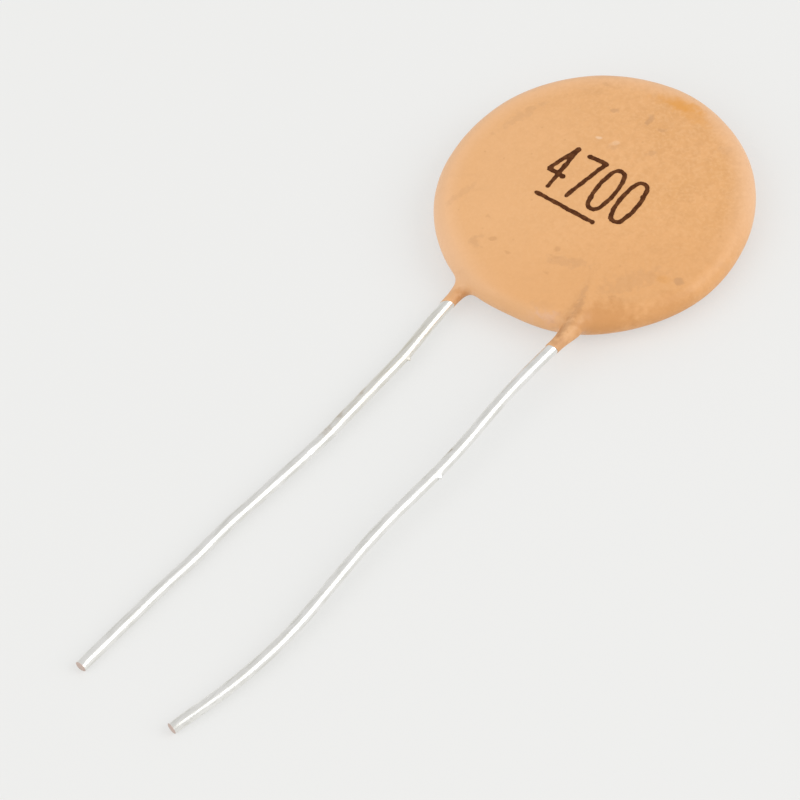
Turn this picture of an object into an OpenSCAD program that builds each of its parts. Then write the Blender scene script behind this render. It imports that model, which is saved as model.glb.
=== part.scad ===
// Single-layer ceramic disc capacitor with two radial leads, lying on its face.
//
// A thin ceramic disc carries a fired silver electrode on each face. A tinned lead is soldered
// to each electrode, and the whole disc is then dipped in resin, which is thickest in the
// middle, stands up in a ridge over each lead and runs a little way down the wires.
//
// Frame: the origin is the centre of the footprint, on the surface that the part lies on.
// +Z is up, out of the front face, and the leads point towards -Y.

/* [Coating] */
// Diameter over the coating
body_d = 15.5; // [12.5:0.5:19]
// Thickness over the coating at the middle of the disc
body_t = 2.3; // [2.1:0.1:3]
// Thickness of the round rim
rim_t = 1.6; // [1.4:0.1:1.9]
// Coating outside the ceramic's edge
rim_wall = 0.8; // [0.6:0.1:1.2]
// Coating over each lead where it runs across the disc
ridge_wall = 0.25; // [0.15:0.05:0.3]
// Coating around each lead at the end of the run-down
run_wall = 0.06; // [0.04:0.01:0.1]
// Length of the run-down on the front lead
front_run_l = 0.9; // [0.6:0.1:1.8]
// Length of the run-down on the rear lead
rear_run_l = 0.5; // [0.4:0.1:1.8]
// Radius of the corner between the rim and a run-down, on the side away from the other lead
outer_corner_r = 1.2; // [0.5:0.1:1.6]
// Radius of that corner on the side towards the other lead
inner_corner_r = 0.3; // [0.2:0.05:0.4]

/* [Ceramic and electrodes] */
// Thickness of the ceramic disc
ceramic_t = 0.25; // [0.2:0.05:0.4]
// Thickness of the fired silver on each face
electrode_t = 0.02; // [0.02:0.01:0.04]
// Bare ceramic left around each electrode
electrode_margin = 0.5; // [0.3:0.1:1]

/* [Leads] */
// Diameter of the tinned wire
wire_d = 0.6; // [0.5:0.05:0.7]
// Spacing of the leads where they leave the disc
pitch = 6.2; // [5:0.1:7.4]
// How far the pair sits to the right of the disc's centre
pair_offset = 1.2; // [0:0.05:1.4]
// Length of the front lead outside the disc
front_lead_l = 27.8; // [18:0.1:36]
// Length of the rear lead outside the disc
rear_lead_l = 26.9; // [18:0.1:36]
// Length of each lead across the electrode, up to its bend
seat_l = 6; // [4:0.5:7]
// How far outside the ceramic's edge each lead bends
hip_out = 0.7; // [0.5:0.05:0.9]
// Radius of that bend, on the wire's centre line
hip_bend_r = 1.2; // [0.8:0.1:1.6]

/* [Solder] */
// Width of the solder fillet along each lead
solder_w = 1.5; // [1.2:0.1:2]
// Height of the fillet where it meets the wire
solder_h = 0.42; // [0.3:0.02:0.45]
// Length of the fillet beside the wire
solder_l = 4; // [2:0.2:4.6]
// How far the fillet reaches past the wire's inner end
solder_past = 0.4; // [0.2:0.1:0.6]
// Thickness of the fillet at its thin edge
solder_edge = 0.03; // [0.02:0.01:0.05]

/* [Hidden] */
$fn = 96;

// Disc: heights are taken from the ceramic's middle plane
body_r = body_d / 2;
middle_z = body_t / 2;
ceramic_r = body_r - rim_wall;
electrode_r = ceramic_r - electrode_margin;
seat_z = ceramic_t / 2 + electrode_t;
wire_r = wire_d / 2;
wire_z = seat_z + wire_r;

// Each face is a shallow dome: a sphere through the middle of the face that runs on from the
// round rim. It stops a hair short of the line where the two would touch, at a clean edge.
rim_r = rim_t / 2;
rim_x = body_r - rim_r;
dome_r = (rim_x ^ 2 + middle_z ^ 2 - rim_r ^ 2) / (2 * (middle_z - rim_r));
dome_seam = 0.04;
dome_fn = 1800;
dome_edge = rim_x * dome_r / (dome_r - rim_r) - dome_seam;

// A web of coating rounds the corner on each side of a run-down. It is a bent bar as thick as
// the wire, at the height where it fits inside both the rim and the ridge that it joins.
ridge_r = wire_r + ridge_wall;
web_z = wire_z * (rim_r - wire_r) / (rim_r - wire_r + ridge_wall);

// Directions of each lead in degrees from -Y, positive towards +X: across the disc and where
// it leaves the rim
front_splay = 19;
front_exit = -1.6;
rear_splay = -15;
rear_exit = 3.8;

// How each lead wanders on its way to the cut end: [share of its length where a curve starts,
// share where it stops, degrees that it turns]
front_curves = [[0.07, 0.21, 6.1], [0.25, 0.37, -6.1], [0.42, 0.58, 6.6], [0.67, 0.93, -16.8]];
rear_curves = [[0.03, 0.09, 2.7], [0.135, 0.175, -4.7], [0.35, 0.45, -4.7], [0.595, 0.66, 4.5],
               [0.685, 0.735, -4.2], [0.765, 0.81, 2.5]];

// A route is a bend table with rows of [straight feed, roll, angle, bend radius]. Roll 0 turns
// towards +X, 180 towards -X and -90 down. A straight run laps into the bends at its ends, and
// a bend swells by a hair over it.
down = -90;
lap = 0.02;
swell = 0.005;
dip_r = 8;

function turn_row(feed, turn, radius) = [feed, turn < 0 ? 180 : 0, abs(turn), radius];
function row_turn(row) = row[1] == 0 ? row[2] : row[1] == 180 ? -row[2] : 0;
function outside_rows(curves, length) = [
    for (i = [0:len(curves)])
        let (before = i == 0 ? 0 : curves[i - 1][1])
        i == len(curves) ? [(1 - before) * length, 0, 0, 0]
        : turn_row((curves[i][0] - before) * length, curves[i][2],
                   (curves[i][1] - curves[i][0]) * length / (abs(curves[i][2]) * PI / 180))];

// How far a route gets along the direction from which headings are taken
function reach(rows, heading = 0, i = 0) =
    i == len(rows) ? 0
    : let (turn = row_turn(rows[i]), next = heading + turn,
           arc = turn == 0 ? sin(rows[i][2]) * cos(heading) : abs(sin(next) - sin(heading)))
      rows[i][0] * cos(heading) + rows[i][3] * arc + reach(rows, next, i + 1);

// Where each lead bends at the rim, and the dip that lays its cut end on the surface
function hip_y(x) = -sqrt((ceramic_r + hip_out) ^ 2 - x ^ 2);
function dip_angle(drop, length) =
    let (guess = asin(drop / length)) asin((drop - dip_r * (1 - cos(guess))) / length);
function hip_row(splay, exit) = turn_row(seat_l, exit - splay, hip_bend_r);
function dip_row(side, outside) =
    [2 * lap, down, dip_angle(middle_z + side * wire_z - wire_r, reach(outside)), dip_r];

front_x = pair_offset + pitch / 2;
rear_x = pair_offset - pitch / 2;
front_outside = outside_rows(front_curves, front_lead_l);
rear_outside = outside_rows(rear_curves, rear_lead_l);
front_inside = [hip_row(front_splay, front_exit), dip_row(1, front_outside)];
rear_inside = [hip_row(rear_splay, rear_exit), dip_row(-1, rear_outside)];

// The disc's centre lies this far along +Y, which centres the footprint on the origin
function tip_y(x, splay, rows) = hip_y(x) + seat_l * cos(splay) - reach(rows, splay);
disc_y = -(body_r + min(tip_y(front_x, front_splay, concat(front_inside, front_outside)),
                        tip_y(rear_x, rear_splay, concat(rear_inside, rear_outside)))) / 2;

module at_disc() translate([0, disc_y, middle_z]) children();

// Puts its children at a lead's inner end, with +Z along the lead towards the rim and +Y up
module at_lead(side, x, splay)
    at_disc() translate([x, hip_y(x), side * wire_z]) rotate([90, 0, splay])
        translate([0, 0, -seat_l]) children();

module at_front() at_lead(1, front_x, front_splay) children();
module at_rear() at_lead(-1, rear_x, rear_splay) children();

// A round bar of radius r that follows a bend table, with its children at the far end
module bar(rows, r, i = 0) {
    feed = rows[i][0];
    roll = rows[i][1];
    angle = rows[i][2];
    bend_r = rows[i][3];
    lap_in = i > 0 ? lap : 0;
    lap_out = angle > 0 ? lap : 0;
    translate([0, 0, -lap_in]) cylinder(r = r, h = lap_in + feed + lap_out);
    translate([0, 0, feed])
        if (angle > 0)
            rotate([0, 0, roll]) {
                translate([bend_r, 0, 0]) rotate([90, 0, 180])
                    rotate_extrude(angle = angle) translate([bend_r, 0]) circle(r = r + swell);
                translate([bend_r * (1 - cos(angle)), 0, bend_r * sin(angle)])
                    rotate([0, angle, 0]) rotate([0, 0, -roll])
                        if (i + 1 < len(rows)) bar(rows, r, i + 1) children();
                        else children();
            }
}

// The dipped disc without its leads: two shallow domes and a round rim
module dipped_disc() {
    rotate_extrude() {
        intersection() {
            translate([0, middle_z - dome_r]) circle(r = dome_r, $fn = dome_fn);
            translate([0, dome_r - middle_z]) circle(r = dome_r, $fn = dome_fn);
            translate([0, -middle_z]) square([dome_edge, body_t]);
        }
        translate([rim_x, 0]) circle(r = rim_r);
    }
}

// Coating that clings to a lead: a ridge across the disc, and a run-down that thins out
// along the wire in a hollow curve
module clinging(inside, run_l) {
    end_r = wire_r + run_wall;
    flare = ridge_r - end_r;
    hollow_r = (run_l ^ 2 + flare ^ 2) / (2 * flare);
    sphere(r = ridge_r);
    bar(inside, ridge_r)
        translate([0, 0, -lap]) rotate_extrude() difference() {
            square([ridge_r, run_l + lap]);
            translate([end_r + hollow_r, run_l + lap]) circle(r = hollow_r);
        }
}

// Web of coating on one side of a run-down. Seen from the front it is an arc that starts
// inside the rim, where it points at the disc's centre, and ends inside the ridge. Across is 1
// for the corner on the lead's +X side and -1 for the other one.
module web(side, across, corner_r, x, splay, exit) {
    turn = exit - splay;
    lead_x = x * cos(exit) + hip_y(x) * sin(exit) - sign(turn) * hip_bend_r * (1 - cos(turn));
    ridge_reach = wire_r + sqrt(ridge_wall ^ 2 - (wire_z - web_z) ^ 2) - lap;
    rim_reach = rim_x + wire_r + sqrt((rim_r - wire_r) ^ 2 - web_z ^ 2) - lap;
    corner_x = lead_x + across * (ridge_reach + corner_r);
    corner_y = -sqrt((rim_reach + corner_r) ^ 2 - corner_x ^ 2);
    to_disc = atan2(-corner_y, -corner_x);
    at_disc() rotate([0, 0, exit]) translate([corner_x, corner_y, side * web_z])
        rotate([0, 0, across > 0 ? to_disc : 0])
            rotate_extrude(angle = across > 0 ? 180 - to_disc : to_disc)
                translate([corner_r + wire_r, 0]) circle(r = wire_r);
}

module coating() {
    color([0.91, 0.66, 0.42]) difference() {
        union() {
            at_disc() dipped_disc();
            at_front() clinging(front_inside, front_run_l);
            at_rear() clinging(rear_inside, rear_run_l);
            web(1, 1, outer_corner_r, front_x, front_splay, front_exit);
            web(1, -1, inner_corner_r, front_x, front_splay, front_exit);
            web(-1, -1, outer_corner_r, rear_x, rear_splay, rear_exit);
            web(-1, 1, inner_corner_r, rear_x, rear_splay, rear_exit);
        }
        ceramic_disc();
        front_electrode();
        rear_electrode();
        front_lead();
        rear_lead();
        front_solder();
        rear_solder();
    }
}

module ceramic_disc() {
    color([0.80, 0.72, 0.58]) at_disc()
        translate([0, 0, -ceramic_t / 2]) cylinder(r = ceramic_r, h = ceramic_t);
}

module electrode(side) {
    color([0.82, 0.82, 0.80]) at_disc()
        translate([0, 0, side > 0 ? ceramic_t / 2 : -seat_z])
            cylinder(r = electrode_r, h = electrode_t);
}

module front_electrode() electrode(1);
module rear_electrode() electrode(-1);

module front_lead() color([0.75, 0.76, 0.76]) at_front() bar(concat(front_inside, front_outside), wire_r);
module rear_lead() color([0.75, 0.76, 0.76]) at_rear() bar(concat(rear_inside, rear_outside), wire_r);

// Solder that wets the electrode and climbs the wire's sides in two hollow curves
module fillet() {
    half_w = solder_w / 2;
    intersection() {
        translate([0, 0, -solder_past]) linear_extrude(solder_past + solder_l) difference() {
            translate([-half_w, -wire_r]) square([solder_w, solder_h]);
            for (x = [-half_w, half_w])
                translate([x, solder_edge + solder_h - wire_r]) circle(r = solder_h);
        }
        translate([0, -wire_r, 0]) rotate([-90, 0, 0]) {
            translate([0, -half_w + solder_past, 0]) cylinder(r = half_w, h = solder_h);
            translate([0, -solder_l + half_w, 0]) cylinder(r = half_w, h = solder_h);
            translate([-half_w, -solder_l + half_w, 0])
                cube([solder_w, solder_l + solder_past - solder_w, solder_h]);
        }
    }
}

module front_solder() {
    color([0.66, 0.67, 0.67]) difference() {
        at_front() fillet();
        front_lead();
    }
}

module rear_solder() {
    color([0.66, 0.67, 0.67]) difference() {
        at_rear() mirror([0, 1, 0]) fillet();
        rear_lead();
    }
}

coating();
ceramic_disc();
front_electrode();
rear_electrode();
front_lead();
rear_lead();
front_solder();
rear_solder();
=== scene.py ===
# %% [markdown]
# # A dipped ceramic disc capacitor
# A ceramic disc capacitor is a thin ceramic wafer with a wire soldered to each face, dipped in
# resin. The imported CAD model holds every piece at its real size. This notebook makes the pieces
# that show their finish: the resin skin, the printed number and the two wire leads.

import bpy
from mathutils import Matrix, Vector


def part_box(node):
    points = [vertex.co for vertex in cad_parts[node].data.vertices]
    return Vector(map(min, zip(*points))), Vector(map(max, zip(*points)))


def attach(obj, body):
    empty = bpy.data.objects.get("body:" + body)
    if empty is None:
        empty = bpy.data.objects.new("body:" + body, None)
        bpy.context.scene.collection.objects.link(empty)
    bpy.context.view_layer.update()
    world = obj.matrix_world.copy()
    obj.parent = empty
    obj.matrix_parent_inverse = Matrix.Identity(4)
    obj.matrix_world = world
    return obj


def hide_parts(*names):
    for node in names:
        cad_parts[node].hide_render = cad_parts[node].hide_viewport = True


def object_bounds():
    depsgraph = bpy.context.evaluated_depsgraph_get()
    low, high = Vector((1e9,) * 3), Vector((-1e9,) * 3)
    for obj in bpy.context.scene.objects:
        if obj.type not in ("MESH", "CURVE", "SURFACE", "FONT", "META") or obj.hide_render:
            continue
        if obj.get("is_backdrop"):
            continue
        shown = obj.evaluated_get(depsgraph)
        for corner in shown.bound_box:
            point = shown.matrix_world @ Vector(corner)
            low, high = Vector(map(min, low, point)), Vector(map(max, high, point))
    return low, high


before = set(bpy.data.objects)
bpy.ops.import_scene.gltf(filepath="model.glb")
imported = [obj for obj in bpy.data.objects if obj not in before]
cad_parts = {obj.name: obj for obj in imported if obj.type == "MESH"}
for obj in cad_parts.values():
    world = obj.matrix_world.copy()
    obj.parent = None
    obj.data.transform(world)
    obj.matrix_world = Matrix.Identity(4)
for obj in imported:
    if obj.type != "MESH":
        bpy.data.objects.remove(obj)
cad_low, cad_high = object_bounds()
print("CAD pieces:", ", ".join(sorted(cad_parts)))

# %% [markdown]
# Blender measures in metres, and this part is only a few centimetres long, so lengths are
# written as a number times mm. The ceramic wafer gives the middle of the disc, and the coating's
# box gives its radius. Places on the disc are written from its middle: x to the right and y away
# from the leads.

# %% Units and the middle of the disc
import math

import bpy
from mathutils import Matrix, Vector

mm = 0.001
wafer_low, wafer_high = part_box("ceramic_disc")
coating_low, coating_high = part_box("coating")
disc_middle = (wafer_low + wafer_high) / 2
wafer_r = (wafer_high.x - wafer_low.x) / 2
disc_r = coating_high.x - disc_middle.x


def on_disc(x, y, z=0):
    """A place given in mm from the middle of the disc."""
    return disc_middle + Vector((x, y, z)) * mm


def in_mm(lengths, digits=3):
    """Lengths in mm, rounded to be printed."""
    return tuple(round(length / mm, digits) for length in lengths)


print(f"disc radius {disc_r / mm:.2f} mm, middle at", in_mm(disc_middle))

# %% [markdown]
# The camera is a long lens far away, as for a product picture, so lines that run away from it
# hardly converge. It looks down at the part from the side of the leads and is tipped a little,
# which lets the leads run from the disc to the opposite corner. The disc isn't in the middle of
# the view, so the camera is slid sideways and not turned.

# %% Camera
view_azimuth = math.radians(48.3)
view_elevation = math.radians(52.06)
view_roll = math.radians(-8.76)
view_distance = 390 * mm
view_depth = 10
lens = 366.84
slide_right, slide_up = 9.309 * mm, 9.384 * mm

toward_camera = Vector((math.sin(view_azimuth) * math.cos(view_elevation),
                        -math.cos(view_azimuth) * math.cos(view_elevation),
                        math.sin(view_elevation)))
level_right = Vector((math.cos(view_azimuth), math.sin(view_azimuth), 0))
rolled = Matrix.Rotation(view_roll, 3, toward_camera)
view_right = rolled @ level_right
view_up = rolled @ toward_camera.cross(level_right)

bpy.ops.object.camera_add(location=disc_middle + toward_camera * view_distance
                          - view_right * slide_right - view_up * slide_up)
camera = bpy.context.object
camera.rotation_mode = "QUATERNION"
camera.rotation_quaternion = Matrix((view_right, view_up, toward_camera)).transposed().to_quaternion()
camera.data.lens = lens
camera.data.sensor_width = 36
camera.data.clip_start, camera.data.clip_end = 10 * mm, view_depth
bpy.context.scene.camera = camera
print("camera at", in_mm(camera.location, 1))

# %% [markdown]
# Modelling works on whatever is selected, and the CAD pieces are selected after loading. These
# helpers start each new piece with nothing else selected, open it for editing with the chosen
# faces selected, and close it again.

# %% Helpers for modelling


def nothing_selected():
    """Leaves edit mode and drops every selection."""
    if bpy.context.object and bpy.context.object.mode != "OBJECT":
        bpy.ops.object.mode_set(mode="OBJECT")
    bpy.ops.object.select_all(action="DESELECT")


def pick(piece):
    """Makes one piece the only one selected."""
    nothing_selected()
    piece.select_set(True)
    bpy.context.view_layer.objects.active = piece


def edit_faces(piece, wanted):
    """Opens a piece for editing with just the faces selected for which wanted(face) holds."""
    pick(piece)
    bpy.ops.object.mode_set(mode="EDIT")
    bpy.ops.mesh.select_mode(type="FACE")
    bpy.ops.mesh.select_all(action="DESELECT")
    bpy.ops.object.mode_set(mode="OBJECT")
    for face in piece.data.polygons:
        face.select = wanted(face)
    bpy.ops.object.mode_set(mode="EDIT")


def settle(piece, name):
    """Closes a piece, puts its place into its mesh and names it."""
    pick(piece)
    bpy.ops.object.transform_apply(location=True, rotation=True, scale=True)
    piece.name = piece.data.name = name
    return piece


def join(pieces, name):
    """Makes one piece of several."""
    nothing_selected()
    for piece in pieces:
        piece.select_set(True)
    bpy.context.view_layer.objects.active = pieces[0]
    bpy.ops.object.join()
    return settle(bpy.context.object, name)


def apply_modifier(piece, kind, **settings):
    """Adds a modifier with these settings and applies it at once."""
    pick(piece)
    modifier = piece.modifiers.new(kind.title(), kind)
    for setting, value in settings.items():
        setattr(modifier, setting, value)
    bpy.ops.object.modifier_apply(modifier=modifier.name)


def shade_smooth(piece, sharp):
    """Shades a piece smooth, apart from edges that turn by more than sharp degrees."""
    pick(piece)
    bpy.ops.object.shade_smooth_by_angle(angle=math.radians(sharp))


def clouds(name, size):
    """Soft random lumps of one size, for a Displace modifier."""
    texture = bpy.data.textures.new(name, "CLOUDS")
    texture.noise_scale = size
    return texture


# %% [markdown]
# A lead is drawn wire that was bent by hand, so it is made as on a bench: start with the round
# end of a wire, feed it out straight, bend it round a radius, and feed again. In Blender, the
# feed is an extrude and the bend is a spin of the end face. Each row of the bend table is the
# feed, the way the wire turns, the angle and the bend radius. Right is the right of someone who
# faces the wire's end, so a wire that runs to -Y turns right towards +X.

# %% Bend a wire
ring_gap = 0.15 * mm
wire_sides = 32


def straight_row(feed):
    """A row of the bend table without a turn."""
    return feed, "right", 0, 0


def turn_row(feed, turn, radius):
    """A row of the bend table that turns right, or left where turn is negative."""
    return feed, "right" if turn > 0 else "left", abs(turn), radius


def bend_wire(name, start, heading, rows, radius, sides=wire_sides):
    """A round bar that leaves start level, heading degrees from -Y towards +X, and follows the
    rows. It comes with the place where it ends and the way it points there."""
    nothing_selected()
    bpy.ops.mesh.primitive_circle_add(vertices=sides, radius=radius, fill_type="NGON",
                                      location=start, rotation=(math.pi / 2, 0, math.radians(heading)))
    bar = bpy.context.object
    bpy.ops.object.mode_set(mode="EDIT")
    bpy.ops.mesh.select_all(action="SELECT")
    at = Vector(start)
    forward = Matrix.Rotation(math.radians(heading), 3, "Z") @ Vector((0, -1, 0))
    up = Vector((0, 0, 1))
    for feed, turn, angle, bend_r in rows:
        steps = max(1, round(feed / ring_gap))
        for step in range(steps):
            bpy.ops.mesh.extrude_region_move(TRANSFORM_OT_translate={"value": forward * feed / steps})
        at = at + forward * feed
        if angle:
            side = {"right": up.cross(forward), "left": forward.cross(up), "down": -up}[turn]
            axis = forward.cross(side)
            bpy.ops.mesh.spin(steps=max(2, round(bend_r * math.radians(angle) / ring_gap)),
                              angle=-math.radians(angle), center=at + side * bend_r, axis=axis)
            bend = Matrix.Rotation(math.radians(angle), 3, axis)
            at = at + side * bend_r - bend @ (side * bend_r)
            forward, up = bend @ forward, bend @ up
    bpy.ops.object.mode_set(mode="OBJECT")
    return settle(bar, name), at, forward


# %% [markdown]
# The two leads lie on opposite faces of the wafer, splay apart across it, turn at the rim and
# then wander on their way to the cut ends, with a slight dip that lays those ends on the table.
# For each lead, side is 1 on the front face and -1 on the rear face, x is where it turns at the
# rim, splay and exit are its headings before and after that turn, and dip is how far it tips
# down. Its wander is a short list of curves: the share of its length where a curve starts, the
# share where it stops, and the degrees that it turns to the right.

# %% Routes of the leads
wire_r = 0.3 * mm
seat_l = 6 * mm
hip_bend_r = 1.2 * mm
dip_r = 8 * mm
dip_feed = 0.04 * mm
hip_outside_wafer = 0.7 * mm

leads = {
    "front": {"side": 1, "x": 4.3, "splay": 19, "exit": -1.6, "dip": 2.662, "length": 27.8,
              "curves": [(0.07, 0.21, 6.1), (0.25, 0.37, -6.1), (0.42, 0.58, 6.6), (0.67, 0.93, -16.8)]},
    "rear": {"side": -1, "x": -1.9, "splay": -15, "exit": 3.8, "dip": 0.865, "length": 26.9,
             "curves": [(0.03, 0.09, 2.7), (0.135, 0.175, -4.7), (0.35, 0.45, -4.7), (0.595, 0.66, 4.5),
                        (0.685, 0.735, -4.2), (0.765, 0.81, 2.5)]},
}
electrode_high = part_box("front_electrode")[1]
wire_z = electrode_high.z - disc_middle.z + wire_r


def inside_rows(lead):
    """The stretch across the wafer, the turn at the rim and the dip."""
    across_wafer = turn_row(seat_l, lead["exit"] - lead["splay"], hip_bend_r)
    return [across_wafer, (dip_feed, "down", lead["dip"], dip_r)]


def outside_rows(lead):
    """The wander from the rim to the cut end."""
    length = lead["length"] * mm
    rows, share = [], 0
    for start, stop, turn in lead["curves"]:
        rows.append(turn_row((start - share) * length, turn,
                             (stop - start) * length / abs(math.radians(turn))))
        share = stop
    return rows + [straight_row((1 - share) * length)]


def hip_y(lead):
    """How far to the front of the disc's middle a lead turns, which is negative."""
    return -math.sqrt((wafer_r + hip_outside_wafer) ** 2 - (lead["x"] * mm) ** 2)


def inner_end(lead):
    """Where a lead's buried end lies."""
    along = Matrix.Rotation(math.radians(lead["splay"]), 3, "Z") @ Vector((0, -1, 0))
    return disc_middle + Vector((lead["x"] * mm, hip_y(lead), lead["side"] * wire_z)) - along * seat_l


wires = {}
for name, lead in leads.items():
    wires[name], lead["tip"], lead["tip_heading"] = bend_wire(
        name + "_wire", inner_end(lead), lead["splay"], inside_rows(lead) + outside_rows(lead), wire_r)
    lowest = min(vertex.co.z for vertex in wires[name].data.vertices)
    print(f"{name} lead: tip", in_mm(lead["tip"]), f"lowest {lowest / mm:.3f} mm, CAD box from",
          in_mm(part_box(name + "_lead")[0]))

# %% [markdown]
# Real wire isn't perfect. The tin on it is a little uneven, it was nipped in a few places when
# it was bent, and the cutter squeezed its ends. Clouds of noise push the surface in and out by
# up to 0.006 mm, and single nicks and burrs are pulled with proportional editing, which drags
# the neighbours along as a thumb does in clay. The end face is squeezed flatter and its edge
# rounded with an inset that lifts the middle.

# %% Uneven, nicked and cut wire
tin_clouds = clouds("tin_clouds", 1.4 * mm)
tin_uneven = 0.012 * mm
nick_reach = 0.16 * mm
end_face_r = 0.1 * mm
squeeze, squeeze_reach = 0.88, 0.35 * mm
end_edge_w, end_edge_h = 0.05 * mm, 0.03 * mm


def tug(piece, place, pull, reach, falloff="SMOOTH"):
    """Drags the point of a piece nearest to a place, and its neighbours within reach with it."""
    near = min(piece.data.vertices, key=lambda v: (v.co - place).length_squared).index
    edit_faces(piece, lambda face: False)
    bpy.ops.mesh.select_mode(type="VERT")
    bpy.ops.object.mode_set(mode="OBJECT")
    piece.data.vertices[near].select = True
    bpy.ops.object.mode_set(mode="EDIT")
    bpy.ops.transform.translate(value=pull, use_proportional_edit=True, proportional_size=reach,
                                proportional_edit_falloff=falloff)
    bpy.ops.object.mode_set(mode="OBJECT")


# For each nick or burr, its place from the middle of the disc and how it is pulled, in mm
nicks = {
    "front": [((5.0, -16.8, 0.05), (0.16, -0.08, -0.02)), ((4.3, -15.5, 0.3), (0.02, 0.01, -0.04))],
    "rear": [((-1.0, -12.1, -0.5), (0.16, -0.08, -0.02)), ((-0.9, -17.6, -0.6), (0.08, -0.04, -0.02)),
             ((-1.2, -19.2, -0.37), (-0.03, 0.02, -0.05)), ((-1.1, -16.9, -0.4), (-0.02, 0.01, -0.04)),
             ((-1.6, -25.6, -0.45), (-0.02, 0.02, -0.04))],
}
for name, wire in wires.items():
    apply_modifier(wire, "DISPLACE", texture=tin_clouds, texture_coords="LOCAL",
                   strength=tin_uneven, mid_level=0.5)
    for place, pull in nicks[name]:
        tug(wire, on_disc(*place), Vector(pull) * mm, nick_reach, "SHARP")
    tip = leads[name]["tip"]
    edit_faces(wire, lambda face: (face.center - tip).length < end_face_r)
    bpy.ops.transform.resize(value=(1, 1, squeeze), center_override=tip, use_proportional_edit=True,
                             proportional_size=squeeze_reach, proportional_edit_falloff="SHARP")
    bpy.ops.mesh.inset(thickness=end_edge_w, depth=end_edge_h)
    bpy.ops.object.mode_set(mode="OBJECT")
    shade_smooth(wire, 35)
    print(name, "wire", len(wire.data.polygons), "faces")

# %% [markdown]
# The resin skin has no parts of its own. It is what stays on a disc with two wires when it is
# pulled out of a bath, so it is made as a sculptor would: rough forms that overlap, melted into
# one surface. The first forms are the disc: a torus for the round rim and a cylinder whose two
# faces are inset again and again, each ring a little higher, into shallow domes.

# %% Form of the disc
rim_r = 0.8 * mm
rim_x = disc_r - rim_r
half_thickness = disc_middle.z - coating_low.z
dome_r = (rim_x ** 2 + half_thickness ** 2 - rim_r ** 2) / (2 * (half_thickness - rim_r))
dome_rings = 16
disc_sides, rim_sides = 240, 48


def dome_height(distance):
    """How high the face lies above the middle plane at a distance from the disc's axis."""
    return half_thickness - dome_r + math.sqrt(dome_r ** 2 - distance ** 2)


nothing_selected()
bpy.ops.mesh.primitive_torus_add(major_radius=rim_x, minor_radius=rim_r, major_segments=disc_sides,
                                 minor_segments=rim_sides, location=disc_middle)
rim_form = settle(bpy.context.object, "rim_form")
nothing_selected()
bpy.ops.mesh.primitive_cylinder_add(vertices=disc_sides, radius=rim_x, depth=2 * rim_r,
                                    location=disc_middle)
dome_form = settle(bpy.context.object, "dome_form")
edit_faces(dome_form, lambda face: abs(face.normal.z) > 0.5)
ring_w = rim_x / (dome_rings + 1)
for ring in range(dome_rings):
    rise = dome_height(rim_x - (ring + 1) * ring_w) - dome_height(rim_x - ring * ring_w)
    bpy.ops.mesh.inset(thickness=ring_w, depth=rise)
bpy.ops.object.mode_set(mode="OBJECT")
print("dome", round(dome_form.dimensions.z / mm, 3), "mm thick")

# %% [markdown]
# A dipped rim is never quite round. Between the leads the resin drained away, so the edge is
# pulled in there. It is also a little flat on the left, and stands out a little on the right and
# at the back. Each entry says where on the rim, which way and how far it is pulled, and how far
# the pull reaches.

# %% Uneven rim
rim_pulls = [((1.1, -7.6, 0), (-0.03, 0.19, 0), 3.2), ((-7.7, -0.8, 0), (0.07, 0, 0), 4),
             ((7.6, -1.2, 0), (0.08, -0.02, 0), 4), ((-0.6, 7.7, 0), (0, 0.05, 0), 3)]
for place, pull, reach in rim_pulls:
    tug(rim_form, on_disc(*place), Vector(pull) * mm, reach * mm)
print("rim form", in_mm(rim_form.dimensions), "mm")

# %% [markdown]
# Resin clings to each wire. Across the disc it stands over the wire in a ridge, and outside it
# runs down the wire in a neck that thins out. The neck is drawn past the place where the resin
# ends, because that end is cut later. A cone fills the corner between ridge and neck. Short bent
# bars, laid like webs between fingers, round the corners between the neck and the rim: the inner
# side of such a bend is the hollow of the corner. The leads' sizes get new entries for this: the
# lengths of ridge and run, how far the cone reaches back and on, its wide radius, the slant of
# the cut in degrees, and the radius of the corner on the side of +X (1) or of -X (-1).

# %% Forms that cling to the wires
ridge_r, neck_r, web_r = 0.55 * mm, 0.345 * mm, 0.3 * mm
web_z = 0.3 * mm
web_stub = 0.01 * mm
corner_off_wire, corner_in_rim = 0.47 * mm, 0.14 * mm
spare_neck = 0.7 * mm
cone_sides = 48
leads["front"].update(ridge=6, run=0.97, cone=(0.6, 0.5), cone_r=0.5, cut=14, corners={1: 0.7, -1: 0.35})
leads["rear"].update(ridge=5.2, run=0.69, cone=(0.6, 0.2), cone_r=0.43, cut=27, corners={-1: 0.3})


def web(name, lead, across, corner_r):
    """A bent bar in the corner on one side of a neck: across is 1 for +X and -1 for -X. It is
    worked out as if the neck ran straight to -Y, and then turned by the neck's own heading."""
    exit_angle = math.radians(lead["exit"])
    turn = exit_angle - math.radians(lead["splay"])
    lead_x = (lead["x"] * mm * math.cos(exit_angle) + hip_y(lead) * math.sin(exit_angle)
              - math.copysign(hip_bend_r * (1 - math.cos(turn)), turn))
    corner_x = lead_x + across * (corner_off_wire + corner_r)
    corner_y = -math.sqrt((disc_r - corner_in_rim + corner_r) ** 2 - corner_x ** 2)
    to_disc = math.degrees(math.atan2(-corner_y, -corner_x))
    sweep = 180 - to_disc if across > 0 else to_disc
    start = Vector((corner_x - across * (corner_r + web_r), corner_y, lead["side"] * web_z))
    start = disc_middle + Matrix.Rotation(exit_angle, 3, "Z") @ start
    way = "left" if across > 0 else "right"
    return bend_wire(name, start, 180 + lead["exit"], [(web_stub, way, sweep, corner_r + web_r)], web_r)[0]


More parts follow.
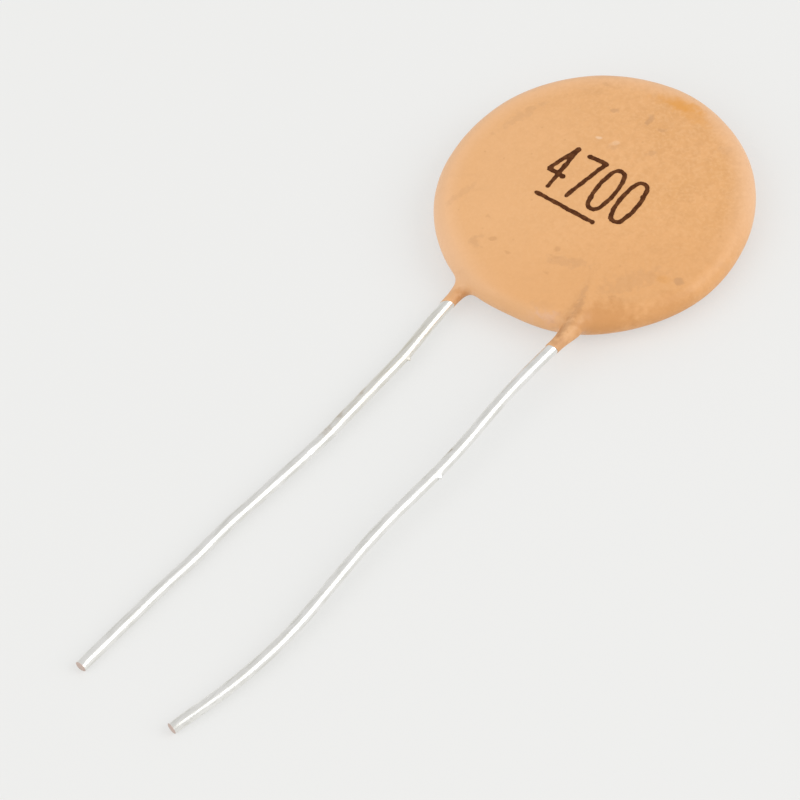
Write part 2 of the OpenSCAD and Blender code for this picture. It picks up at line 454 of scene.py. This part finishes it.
def cone_on(name, lead, neck_start, forward):
    """A cone that narrows from the ridge to the neck, round the place where the neck starts."""
    back, on = (length * mm for length in lead["cone"])
    nothing_selected()
    bpy.ops.mesh.primitive_cone_add(vertices=cone_sides, radius1=lead["cone_r"] * mm, radius2=neck_r,
                                    depth=back + on, location=neck_start + forward * (on - back) / 2,
                                    rotation=forward.to_track_quat("Z", "Y").to_euler())
    return settle(bpy.context.object, name + "_cone")


def cling(name, lead):
    """The ridge, neck, cone and webs on one wire, and where and which way the neck leaves."""
    seat = inner_end(lead), lead["splay"]
    ridge = bend_wire(name + "_ridge", *seat, [straight_row(lead["ridge"] * mm)], ridge_r)[0]
    run_row = straight_row(lead["run"] * mm + spare_neck)
    neck, at, forward = bend_wire(name + "_neck", *seat, inside_rows(lead) + [run_row], neck_r)
    at = at - forward * spare_neck
    cone = cone_on(name, lead, at - forward * lead["run"] * mm, forward)
    webs = [web(name + "_web", lead, across, corner_r * mm) for across, corner_r in lead["corners"].items()]
    return [ridge, neck, cone] + webs, at, forward


forms = [rim_form, dome_form]
for name, lead in leads.items():
    clinging, lead["resin_end"], lead["resin_heading"] = cling(name, lead)
    forms += clinging
    print(name, "resin ends at", in_mm(lead["resin_end"] - disc_middle, 2))

# %% [markdown]
# Now the forms melt together. A voxel remesh makes one skin of them, like clay pressed into a
# mould. The skin is then blown up by the radius of a meniscus and shrunk by as much, which
# leaves the round forms as they were but fills every sharp inner corner with a hollow curve, as
# liquid resin does. Smoothing in between takes out the steps of the voxels.

# %% Melt the forms into a skin
grain = 0.08 * mm
meniscus_r = 0.26 * mm
skin = join(forms, "resin_skin")
apply_modifier(skin, "REMESH", mode="VOXEL", voxel_size=grain)
apply_modifier(skin, "DISPLACE", strength=meniscus_r, mid_level=0)
apply_modifier(skin, "REMESH", mode="VOXEL", voxel_size=grain)
apply_modifier(skin, "SMOOTH", factor=0.5, iterations=4)
apply_modifier(skin, "DISPLACE", strength=-meniscus_r, mid_level=0)
apply_modifier(skin, "SMOOTH", factor=0.5, iterations=4)
apply_modifier(skin, "REMESH", mode="VOXEL", voxel_size=grain)
apply_modifier(skin, "SMOOTH", factor=0.5, iterations=6)
print("skin", len(skin.data.polygons), "faces, size", in_mm(skin.dimensions), "mm")

# %% [markdown]
# The surface of the resin is slightly uneven, with a few shallow pits where bubbles burst. Each
# neck is then cut off at a slant where the resin ends on the wire. A Boolean with a block does
# that cleanly, because it closes the cut with one flat face.

# %% Uneven resin, pits and the ends on the wires
resin_clouds = clouds("resin_clouds", 2.2 * mm)
resin_uneven = 0.03 * mm
over_face = 1.1
block = 1.8 * mm

# For each pit, its place on the disc's upper face, its depth and its reach, in mm
pits = [(-1.88, 2.65, 0.035, 0.3), (-1.02, 2.83, 0.03, 0.35), (6.07, -2.0, 0.02, 0.35)]


def take_away(piece, tool):
    """Subtracts a tool from a piece and removes the tool."""
    apply_modifier(piece, "BOOLEAN", operation="DIFFERENCE", solver="MANIFOLD", object=tool)
    nothing_selected()
    tool.select_set(True)
    bpy.ops.object.delete()


apply_modifier(skin, "DISPLACE", texture=resin_clouds, texture_coords="LOCAL",
               strength=resin_uneven, mid_level=0.75)
for x, y, depth, reach in pits:
    tug(skin, on_disc(x, y, over_face), (0, 0, -depth * mm), reach * mm)
for name, lead in leads.items():
    facing = Matrix.Rotation(math.radians(lead["cut"]), 3, "Z") @ lead["resin_heading"]
    nothing_selected()
    bpy.ops.mesh.primitive_cube_add(size=block, location=lead["resin_end"] + facing * block / 2,
                                    rotation=facing.to_track_quat("X", "Z").to_euler())
    take_away(skin, bpy.context.object)
print("skin", len(skin.data.polygons), "faces")

# %% [markdown]
# The skin is a real wall round the pieces inside. Each piece is subtracted from it, so nothing
# shares the same space. The CAD pieces are loose triangles, so a copy of each is merged first.

# %% Hollow out the skin
same_point = 0.0001 * mm


def merged_copy(source):
    """A copy of a piece whose loose triangles are joined."""
    pick(source)
    bpy.ops.object.duplicate()
    copy = bpy.context.object
    bpy.ops.object.mode_set(mode="EDIT")
    bpy.ops.mesh.select_all(action="SELECT")
    bpy.ops.mesh.remove_doubles(threshold=same_point)
    bpy.ops.object.mode_set(mode="OBJECT")
    return copy


buried = ["ceramic_disc", "front_electrode", "rear_electrode", "front_solder", "rear_solder"]
for source in [bpy.data.objects[node] for node in buried] + list(wires.values()):
    take_away(skin, merged_copy(source))
shade_smooth(skin, 40)
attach(skin, "root")
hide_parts("coating")
for name, wire in wires.items():
    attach(wire, "root")
    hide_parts(name + "_lead")
print("hollow skin", len(skin.data.polygons), "faces")

# %% [markdown]
# The number is stamped in dark ink, with a bar below its first three digits. It is a plain number
# that stands for no maker's marking. Each stroke is drawn like a wire, as a round bar along the
# route of the pen, with a small ball where the pen rested. The line of print is turned a little
# on the disc, and the digits lean back from it.

# %% Pens for the number
pen_r = 0.118 * mm
pen_sides = 16
ball_rings = 8
pen_stub = 0.01 * mm
nought_end_r = 0.33 * mm
digit_w, digit_h, digit_gap = 0.93 * mm, 2.62 * mm, 1.36 * mm
line_turn, digit_lean = 3.4, 3.0
line_start = on_disc(-2.47, -1.18, 1.2)
along = Matrix.Rotation(math.radians(line_turn), 3, "Z") @ Vector((1, 0, 0))
upward = Matrix.Rotation(math.radians(line_turn + digit_lean), 3, "Z") @ Vector((0, 1, 0))


def on_line(digit, x, y):
    """A place on the line of print, in shares of a digit's width and height."""
    return line_start + along * (digit * digit_gap + x * digit_w) + upward * (y * digit_h)


def heading_of(way):
    """The degrees from -Y towards +X of a level direction."""
    return math.degrees(math.atan2(way.x, -way.y))


def pen(digit, points):
    """Straight strokes from point to point."""
    places = [on_line(digit, x, y) for x, y in points]
    strokes = []
    for start, end in zip(places, places[1:]):
        way = end - start
        strokes.append(bend_wire("stroke", start, heading_of(way), [straight_row(way.length)],
                                 pen_r, pen_sides)[0])
    return strokes


def pen_ring(digit):
    """A nought: an oval of two long side arcs and two tight end arcs, from its left side up."""
    tall, wide = digit_h / 2 - nought_end_r, digit_w / 2 - nought_end_r
    apart = (tall ** 2 + wide ** 2) / (2 * wide)
    side_turn = math.degrees(math.asin(tall / apart))
    side = (pen_stub, "left", side_turn, apart + nought_end_r)
    end = (pen_stub, "left", 180 - 2 * side_turn, nought_end_r)
    start = line_start + along * digit * digit_gap + upward * digit_h / 2
    return bend_wire("stroke", start, heading_of(upward), [side, end, side, side, end, side],
                     pen_r, pen_sides)[0]


def blot(digit, x, y, weight):
    """A round blot where the pen rested, weight times as wide as a stroke."""
    nothing_selected()
    bpy.ops.mesh.primitive_uv_sphere_add(segments=pen_sides, ring_count=ball_rings,
                                         radius=pen_r * weight, location=on_line(digit, x, y))
    return settle(bpy.context.object, "blot")


print("line of print", round((3 * digit_gap + digit_w) / mm, 2), "mm long")

# %% [markdown]
# The strokes are melted together as the resin was, and clouds of noise make their edges bleed.
# Then only the faces that look up are kept and pressed flat, and that flat shape is laid on the
# skin by Shrinkwrap and given the thickness of ink by Solidify.

# %% Write the number and press it on the skin
ink_clouds = clouds("ink_clouds", 0.35 * mm)
ink_grain, ink_bleed, ink_t = 0.035 * mm, 0.12 * mm, 0.03 * mm
least_rise = 0.15

# The 4, the 7, the two noughts and the bar
strokes = pen(0, [(0.66, 0), (0.66, 1), (0, 0.34), (1, 0.34)])
strokes += pen(1, [(0.02, 0.98), (1, 1), (0.38, 0)])
strokes += [pen_ring(2), pen_ring(3)]
strokes += pen(0, [(0.36, -0.23), (3.98, -0.23)])
# Each blot: its digit, its place on the digit and its weight
blots = [(0, 0.66, 0, 1.1), (0, 0.66, 1, 1.3), (0, 0.1, 0.36, 1.3), (0, 0.95, 0.33, 1.25),
         (1, 0.02, 0.98, 1.25), (1, 0.97, 0.98, 1.35), (1, 0.4, 0.01, 1.15), (2, 0.1, 0.2, 1.15),
         (3, 0.9, 0.75, 1.15), (0, 3.98, -0.23, 1.2), (0, 0.36, -0.23, 0.9)]
strokes += [blot(*place_and_weight) for place_and_weight in blots]
ink = join(strokes, "printed_number")
apply_modifier(ink, "REMESH", mode="VOXEL", voxel_size=ink_grain)
apply_modifier(ink, "DISPLACE", texture=ink_clouds, texture_coords="LOCAL",
               strength=ink_bleed, mid_level=0.5)
apply_modifier(ink, "SMOOTH", factor=0.5, iterations=6)
edit_faces(ink, lambda face: face.normal.z < least_rise)
bpy.ops.mesh.delete(type="FACE")
bpy.ops.mesh.select_all(action="SELECT")
bpy.ops.transform.resize(value=(1, 1, 0), center_override=line_start)
bpy.ops.object.mode_set(mode="OBJECT")
apply_modifier(ink, "SHRINKWRAP", target=skin, wrap_method="PROJECT", use_project_z=True,
               use_negative_direction=True, use_positive_direction=False)
apply_modifier(ink, "SOLIDIFY", thickness=ink_t, offset=0)
shade_smooth(ink, 50)
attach(ink, "root")
print("number", len(ink.data.polygons), "faces, size", in_mm(ink.dimensions, 2), "mm")

# %% [markdown]
# Every finish is a small recipe of shader nodes. Shade wraps one output of a node, so that
# sums and products can be written as Python does, and its node method adds any other node.

# %% Shader arithmetic


class Shade:
    """One output in a material's node tree. Arithmetic on it adds Math nodes."""

    def __init__(self, tree, socket=None):
        self.tree, self.socket = tree, socket

    def node(self, kind, settings, values, output=0):
        """Adds a node: its settings first, then a value or a shade for each named socket."""
        made = self.tree.nodes.new(kind)
        for setting, value in settings.items():
            setattr(made, setting, value)
        for name, value in values.items():
            if isinstance(value, Shade):
                self.tree.links.new(value.socket, made.inputs[name])
            else:
                made.inputs[name].default_value = value
        return Shade(self.tree, made.outputs[output])

    def math(self, operation, *values):
        return self.node("ShaderNodeMath", {"operation": operation}, dict(enumerate(values)))

    def __add__(self, other):
        return self.math("ADD", self, other)

    def __sub__(self, other):
        return self.math("SUBTRACT", self, other)

    def __rsub__(self, other):
        return self.math("SUBTRACT", other, self)

    def __mul__(self, other):
        return self.math("MULTIPLY", self, other)

    __radd__, __rmul__ = __add__, __mul__


# %% [markdown]
# Patterns read the place on the object in millimetres from the middle of the disc, so a stain
# stays where it is from every side. A spot is an oval: its places are measured in shares of its
# own length and width, so that its edge lies at 1, and noise makes that edge ragged. Colours are
# laid over each other as thin washes, each with a mask that says where it lies.

# %% Patterns and colours
face_z = 1.05
origin = (0, 0, 0)


def ramp(value, low, high):
    """A soft step from 0 at low to 1 at high."""
    return value.node("ShaderNodeMapRange", {"interpolation_type": "SMOOTHSTEP"},
                      {"Value": value, "From Min": low, "From Max": high})


def noise(place, scale, detail=2):
    """Clouds of noise between 0 and 1, scale of them to a millimetre."""
    return place.node("ShaderNodeTexNoise", {}, {"Vector": place, "Scale": scale, "Detail": detail})


def measured_from(place, zero):
    """Places on a scale that starts at another zero."""
    return place.node("ShaderNodeVectorMath", {"operation": "SUBTRACT"}, {0: place, 1: zero})


def measured_along(place, way):
    """How far places lie in one direction."""
    return place.node("ShaderNodeVectorMath", {"operation": "DOT_PRODUCT"}, {0: place, 1: way}, 1)


def distance_of(place):
    """How far places lie from zero."""
    return place.node("ShaderNodeVectorMath", {"operation": "LENGTH"}, {0: place}, 1)


def in_spot(place, middle, size, turn=0):
    """Places measured from a spot's middle, in shares of its size and turned with it."""
    return place.node("ShaderNodeMapping", {"vector_type": "TEXTURE"},
                      {"Vector": place, "Location": middle, "Scale": size,
                       "Rotation": (0, 0, math.radians(turn))})


def stain(place, middle, size, turn=0, rough=1.3):
    """1 inside a ragged oval spot and 0 outside it; size is half its length and width. A spot
    lies on the face unless its middle and size have a third number, for the height."""
    away = distance_of(in_spot(place, (*middle, face_z)[:3], (*size, 1)[:3], turn))
    ragged = away + (noise(place, 3.2, 4) - 0.5) * (2 * rough)
    return 1 - ramp(ragged, 0.35, 1.1)


def blend(factor, first, second):
    """The first colour where factor is 0 and the second where it is 1."""
    return factor.node("ShaderNodeMix", {"data_type": "RGBA"}, {0: factor, 6: first, 7: second}, 2)


def washes(colour, layers):
    """A colour with washes over it, each given by its mask, its strength and its tint."""
    for mask, strength, tint in layers:
        colour = blend(mask * strength, colour, tint)
    return colour


def rgb(red, green, blue):
    """A colour as a shader wants it, from 0 to 255 as on a screen, by the screen's usual curve."""
    return tuple((c / 255 / 12.92) if c < 10.3 else ((c / 255 + 0.055) / 1.055) ** 2.4
                 for c in (red, green, blue)) + (1,)


# %% [markdown]
# A material is started with its shader and the place on the object, given its colours and
# values, and put on the pieces that have this finish.

# %% Materials
made_materials = {}


def new_material(name):
    """A new material: its shader and the place on the object in mm."""
    material = bpy.data.materials.new(name)
    material.use_nodes = True
    made_materials[name] = material
    shader = material.node_tree.nodes["Principled BSDF"]
    here = Shade(material.node_tree).node("ShaderNodeTexCoord", {}, {}, "Object")
    centred = measured_from(here, disc_middle)
    place = here.node("ShaderNodeVectorMath", {"operation": "SCALE"}, {0: centred, "Scale": 1 / mm})
    return shader, place


def set_finish(shader, bump=None, **values):
    """Gives the shader its colours and values, and a bump whose height is in mm."""
    if bump:
        values["Normal"] = bump.node("ShaderNodeBump", {}, {"Height": bump, "Distance": mm})
    for name, value in values.items():
        socket = shader.inputs[name.replace("_", " ")]
        if isinstance(value, Shade):
            value.tree.links.new(value.socket, socket)
        else:
            socket.default_value = value


def dress(piece, name):
    """Gives a piece one material in every slot."""
    if not piece.material_slots:
        piece.data.materials.append(None)
    for slot in piece.material_slots:
        slot.material = made_materials[name]


# %% [markdown]
# The resin is a dull, ochre-orange paint-like dip. Its colour is even, with a faint mottle and fainter
# smears towards the rim. Light and shade are painted on top of that: it is painted a little paler towards
# the left of the view, as if lit from there, and a little darker towards the viewer as painted shade. The
# rim gets a paler, pinker painted sheen, and the near rim between the leads gets painted light.

# %% Dipped resin: its colour and painted light
shader, place = new_material("dipped_resin")
flat_place = place.node("ShaderNodeVectorMath", {"operation": "MULTIPLY"}, {0: place, 1: (1, 1, 0)})
from_axis = distance_of(flat_place)
to_left = measured_along(place, (-0.75, -0.66, 0))
to_near = measured_along(place, (0.75, -0.66, 0))
# Masks for painted light and shade: near_side is painted shade towards the viewer, the rim mask below it is
# a pale pink painted sheen, and near_left_rim is painted light on the near rim between the leads.
near_side = ramp(to_near, 1, 6)
rim_sheen = ramp(from_axis, 6.2, 7.75) * (1 - near_side)
near_left_rim = ramp(from_axis, 6.9, 7.8) * ramp(to_left, -1, 2) * ramp(to_near, 1, 4)
smears = ramp(noise(in_spot(place, origin, (1.6, 0.5, 1), 35), 0.8, 4), 0.55, 0.8)

ochre = blend(ramp(noise(place, 0.45, 3), 0.35, 0.65), rgb(227, 168, 106), rgb(233, 174, 114))
colour = washes(ochre, [
    (ramp(noise(place, 2.6, 4), 0.35, 0.7), 0.6, rgb(218, 160, 100)),
    (ramp(noise(place, 6, 3), 0.4, 0.7), 0.45, rgb(240, 186, 130)),
    # Painted light towards the left of the view, painted shade towards the viewer, a painted sheen on the
    # rim and painted light on the near rim between the leads.
    (ramp(to_left, -5, 6), 0.7, rgb(236, 181, 126)),
    (near_side, 0.5, rgb(224, 164, 104)),
    (rim_sheen, 0.65, rgb(243, 197, 157)),
    (near_left_rim, 0.4, rgb(232, 186, 142)),
    (smears * ramp(from_axis, 3.5, 6.5), 0.2, rgb(205, 155, 108)),
])
print("resin: own colour in", len(shader.id_data.nodes), "nodes")

# %% [markdown]
# Then comes what making and handling left on it, and some painted shade: grey smears, brown specks, a dirty
# streak and a pinkish patch beside the front wire, and an orange run near the far edge. A few specks and
# the streak also put painted shade on the right side of the front wire's collar. A tan band is painted
# shade along the near rim and a painted shadow where the rim overhangs the rear wire. Each is a spot given
# one by one: its place on the disc and half its length and width in mm, its turn in degrees and its
# strength.

# %% Dipped resin: stains and painted shade
grey_smears = [
    ((-2.42, 4.46), (0.42, 0.16), 20, 0.9), ((-0.70, 4.97), (0.5, 0.2), 100, 1.0),
    ((0.21, 4.86), (0.3, 0.15), 30, 0.7), ((0.75, 3.41), (0.35, 0.2), 60, 0.6),
    ((3.4, 5.85), (0.5, 0.4), 50, 0.4), ((-5.9, 1.4), (1.6, 0.35), 75, 0.45),
    ((-2.6, -5.65), (0.4, 0.4), 0, 0.6), ((-5.05, -3.9), (1.1, 0.25), 80, 0.35),
    ((1.9, -4.0), (1.3, 0.35), 25, 0.5), ((6.72, -1.63), (0.28, 0.22), 0, 1.0),
    ((5.0, -3.0), (1.9, 0.7), 60, 0.4), ((2.5, -6.6), (0.7, 0.35), 20, 0.25),
    ((3.62, -4.9), (0.75, 0.2), 100, 0.5), ((4.05, -5.75), (0.7, 0.26), 105, 0.9),
    ((4.2, -6.9), (0.8, 0.28), 95, 0.9), ((4.3, -8.0), (0.5, 0.24), 80, 0.8),
    ((-0.95, 2.6), (0.3, 0.2), 60, 0.6),
]
# The spots with a height in this list and the next lie on the front wire's collar. There they are dirt and
# also painted shade on the collar's right side.
specks_and_collar_shade = [
    ((-3.03, -4.19), (0.2, 0.14), 0, 0.6), ((-1.93, -5.02), (0.26, 0.16), 30, 0.8),
    ((-0.95, -5.27), (0.24, 0.12), 0, 0.6), ((0.97, -3.76), (0.2, 0.2), 0, 0.7),
    ((1.12, -4.15), (0.22, 0.14), 0, 0.6), ((1.48, -5.1), (0.2, 0.12), 0, 0.5),
    ((4.8, -4.31), (0.25, 0.12), 60, 0.6), ((-3.9, 5.5), (0.25, 0.12), 0, 0.4),
    ((4.4, -7.9, 0.6), (0.45, 0.8, 0.6), 0, 0.5), ((4.15, -7.3), (0.45, 0.2), 95, 0.7),
]
streak_and_collar_shade = [((4.15, -7.6, 0.65), (0.2, 0.6, 0.3), 5, 0.5), ((4.7, -7.8, 0.5), (0.4, 0.8, 0.6), 0, 0.45)]
pink_patch = [((3.0, -6.9), (0.7, 0.35), 20, 1.0), ((2.3, -7.2), (0.6, 0.3), 10, 0.5)]
orange_run = [((-0.2, 6.72), (1.7, 0.5), 18, 0.4), ((0.0, 6.74), (1.0, 0.35), 20, 0.5),
              ((0.7, 6.6), (1.3, 0.6), 0, 0.4), ((6.07, -2.0), (0.4, 0.3), 30, 0.25)]
# Painted shade: a tan band along the near rim to the right of the front wire, and a painted shadow where
# the rim overhangs the rear wire.
painted_shade_band = [
    ((5.1, -5.5, 0.4), (2.4, 1.3, 1.0), 46, 0.6), ((6.9, -2.8, 0.1), (2.0, 0.8, 0.9), 68, 0.4),
    ((-1.75, -8.2, -0.3), (0.55, 0.6, 0.5), 0, 0.3), ((-1.5, -8.0, -0.35), (0.28, 0.6, 0.4), 0, 0.5),
    ((-1.6, -7.7, -0.2), (0.55, 0.28, 0.4), 40, 0.4),
]
brown = rgb(184, 130, 80)
faint, full = 0.42, 1
ragged, soft, softer = 1.3, 0.6, 0.5
for spots, tint, weight, rough in (
        (grey_smears, rgb(184, 138, 98), faint, ragged), (specks_and_collar_shade, brown, faint, ragged),
        (streak_and_collar_shade, rgb(180, 120, 74), faint, ragged), (pink_patch, rgb(226, 182, 154), faint, ragged),
        (orange_run, rgb(226, 154, 62), full, soft), (painted_shade_band, rgb(200, 136, 72), full, softer)):
    colour = washes(colour, [(stain(place, middle, size, turn, rough), strength * weight, tint)
                             for middle, size, turn, strength in spots])

dust = place.node("ShaderNodeTexVoronoi", {}, {"Vector": place, "Scale": 1.1, "Randomness": 1})
# Pale painted highlights on two of the pits.
left_pit_highlight = stain(place, (-1.88, 2.65), (0.22, 0.12), 20, 0.4)
right_pit_highlight = stain(place, (-1.02, 2.83), (0.26, 0.18), 70, 0.9)
colour = washes(colour, [(1 - ramp(dust, 0.03, 0.09), 0.2, brown),
                         (left_pit_highlight + right_pit_highlight * 0.5, 0.7, rgb(244, 206, 168))])
print("resin: with stains in", len(shader.id_data.nodes), "nodes")

# %% [markdown]
# The dip dries with a low gloss that isn't the same everywhere, and with a fine grain. The grain
# is only about a hundredth of a millimetre high, so a bump gives it better than a denser mesh.

# %% Dipped resin: gloss and grain
gloss_patches = ramp(noise(place, 0.8, 3), 0.3, 0.7)
orange_peel, fine_grain = noise(place, 3.5, 4), noise(place, 7, 3)
set_finish(shader, Base_Color=colour, Roughness=0.42 + gloss_patches * 0.12,
           bump=orange_peel * 0.012 + fine_grain * 0.004)
dress(skin, "dipped_resin")
print("resin:", len(shader.id_data.nodes), "nodes in all, on", skin.name)

# %% [markdown]
# The leads are copper wire with a bright tin coat. Tin dulls in streaks along the wire. The
# stretch of the rear wire next to the disc is a little yellow, and farther on there are a few
# brownish patches, most of them on the rear wire. The cutter smeared the tin over the bare
# copper of the end faces, which leaves them a pinkish grey.

# %% Tinned wire
shader, place = new_material("tinned_copper")
streaks = noise(in_spot(place, origin, (0.12, 1.6, 0.12)), 1, 3)
dull_stretch = 1 - ramp(distance_of(in_spot(place, (-1.6, -13, -0.5), (1.2, 6, 2))), 0.4, 1)
brown_patches = [(-1.5, -16.8, -0.5), (-1.65, -15.2, -0.5), (4.3, -15.6, 0.1), (-1.4, -17.9, -0.5)]
patch_size = (0.25, 0.5, 0.4)


def end_face(lead):
    """1 on the cut end of a lead and 0 elsewhere."""
    from_tip = measured_from(place, (lead["tip"] - disc_middle) / mm)
    beyond = measured_along(from_tip, lead["tip_heading"])
    return ramp(beyond, -0.03, 0.0) * (1 - ramp(distance_of(from_tip), 0.5, 0.55))


cut_ends = sum(end_face(lead) for lead in leads.values())
tin = blend(ramp(noise(place, 1.4, 4), 0.35, 0.75), rgb(247, 246, 243), rgb(237, 236, 231))
colour = washes(tin, [(ramp(streaks, 0.5, 0.62), 0.35, rgb(206, 205, 196)),
                      (dull_stretch, 0.2 + ramp(streaks, 0.45, 0.6) * 0.25, rgb(216, 208, 186))])
colour = washes(colour, [(stain(place, middle, patch_size, 0, 0.8), 0.5, rgb(192, 176, 154))
                         for middle in brown_patches])
colour = blend(cut_ends, colour, rgb(214, 194, 184))
set_finish(shader, Base_Color=colour, Metallic=1.0,
           Roughness=0.27 + ramp(streaks, 0.3, 0.7) * 0.12 + cut_ends * 0.2,
           bump=streaks * 0.003 + noise(place, 6, 3) * 0.002)
for wire in wires.values():
    dress(wire, "tinned_copper")
print("tinned wire on", ", ".join(wire.name for wire in wires.values()))

# %% [markdown]
# The ink is a thin dark brown. It took a little unevenly, so its edge is eaten away in places
# and the strokes have small gaps. Where the alpha is 0 the resin shows through.

# %% Printing ink
shader, place = new_material("printing_ink")
worn = noise(place, 5, 3)
gaps = stain(place, (0.25, 0.5), (0.12, 0.06), 30, 0.2) + stain(place, (-1.3, -0.2), (0.1, 0.06), 10, 0.2)
set_finish(shader, Base_Color=blend(ramp(worn, 0.4, 0.7), rgb(80, 40, 10), rgb(106, 62, 30)),
           Specular_IOR_Level=0.15, Roughness=0.6 + worn * 0.2,
           Alpha=ramp(worn, 0.2, 0.27) * (1 - ramp(gaps, 0.2, 0.6)))
dress(ink, "printing_ink")
print("ink:", len(shader.id_data.nodes), "nodes, on", ink.name)

# %% [markdown]
# Three finishes are sealed inside the resin: the fired ceramic, the silver on its faces and the
# solder. They are finished too, because someone may take the part apart.

# %% Sealed pieces
shader, place = new_material("fired_ceramic")
pores = noise(place, 9, 4)
set_finish(shader, Base_Color=blend(ramp(pores, 0.3, 0.7), rgb(206, 190, 158), rgb(222, 208, 180)),
           Roughness=0.55 + pores * 0.2, bump=pores * 0.006)
dress(bpy.data.objects["ceramic_disc"], "fired_ceramic")

shader, place = new_material("fired_silver")
brushed = noise(in_spot(place, origin, (1.5, 0.15, 1)), 1, 3)
set_finish(shader, Base_Color=blend(ramp(brushed, 0.3, 0.7), rgb(222, 220, 214), rgb(236, 235, 231)),
           Metallic=1.0, Roughness=0.4 + brushed * 0.2, bump=brushed * 0.004)
for node in ("front_electrode", "rear_electrode"):
    dress(bpy.data.objects[node], "fired_silver")

shader, place = new_material("solder")
ripples = noise(place, 3, 3)
set_finish(shader, Base_Color=blend(ramp(ripples, 0.3, 0.7), rgb(190, 190, 188), rgb(214, 214, 212)),
           Metallic=1.0, Roughness=0.25 + ripples * 0.2, bump=ripples * 0.01)
for node in ("front_solder", "rear_solder"):
    dress(bpy.data.objects[node], "solder")
print("materials:", ", ".join(made_materials))

# %% [markdown]
# The part lies on plain pale paper. Paper that is only lit comes out grey, and more light would
# wash out the object. So a share of what the camera sees is the paper's own glow, and so is a
# share of what mirrors and glass would show of it. The shadow stays in the share that is lit.

# %% Paper
paper_size = 2
nothing_selected()
bpy.ops.mesh.primitive_plane_add(size=paper_size)
floor = bpy.context.object
floor.name = "floor"
shader, place = new_material("paper")
set_finish(shader, Roughness=0.9,
           Base_Color=blend(noise(place, 0.05, 2), rgb(237, 237, 235), rgb(238, 238, 237)))
glow_shares = {"Is Camera Ray": 0.6, "Is Glossy Ray": 0.9, "Is Transmission Ray": 0.6}
glow_share = sum(place.node("ShaderNodeLightPath", {}, {}, ray) * share
                 for ray, share in glow_shares.items())
glow = place.node("ShaderNodeEmission", {}, {"Color": rgb(237.5, 237.5, 236), "Strength": 1.0})
lit = Shade(glow.tree, shader.outputs[0])
paper = place.node("ShaderNodeMixShader", {}, {0: glow_share, 1: lit, 2: glow})
surface = made_materials["paper"].node_tree.nodes["Material Output"].inputs["Surface"]
paper.tree.links.new(paper.socket, surface)
dress(floor, "paper")
floor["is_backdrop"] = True
print("paper", paper_size, "m wide at the height", floor.location.z)

# %% [markdown]
# Most of the light comes evenly from all round. A soft box to the right of the view puts the
# long highlight on the wires and the shadow on the left, and a larger, weaker one to the left
# keeps that side from going dull.

# %% Light
world_level = 0.715


def soft_box(name, azimuth, elevation, size, distance, energy):
    """A square lamp that faces the disc; azimuth is counted from +X towards +Y."""
    azimuth, elevation = math.radians(azimuth), math.radians(elevation)
    way = Vector((math.cos(azimuth) * math.cos(elevation), math.sin(azimuth) * math.cos(elevation),
                  math.sin(elevation)))
    bpy.ops.object.light_add(type="AREA", location=disc_middle + way * distance,
                             rotation=way.to_track_quat("Z", "Y").to_euler())
    lamp = bpy.context.object
    lamp.name = name
    lamp.data.size = size
    lamp.data.energy = energy


soft_box("right_box", azimuth=30, elevation=36, size=0.45, distance=0.6, energy=1.3)
soft_box("left_box", azimuth=255, elevation=36, size=0.6, distance=0.6, energy=1.0)
bpy.context.scene.view_settings.view_transform = "Standard"
world = bpy.data.worlds.new("studio")
world.use_nodes = True
world.node_tree.nodes["Background"].inputs["Color"].default_value = (world_level,) * 3 + (1,)
bpy.context.scene.world = world
lamps = [thing.name for thing in bpy.context.scene.objects if thing.type == "LIGHT"]
print("light from all round", world_level, "and from", " and ".join(lamps))

# %% Size
seen_low, seen_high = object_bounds()
print("size", in_mm(seen_high - seen_low, 2), "against", in_mm(cad_high - cad_low, 2), "mm")
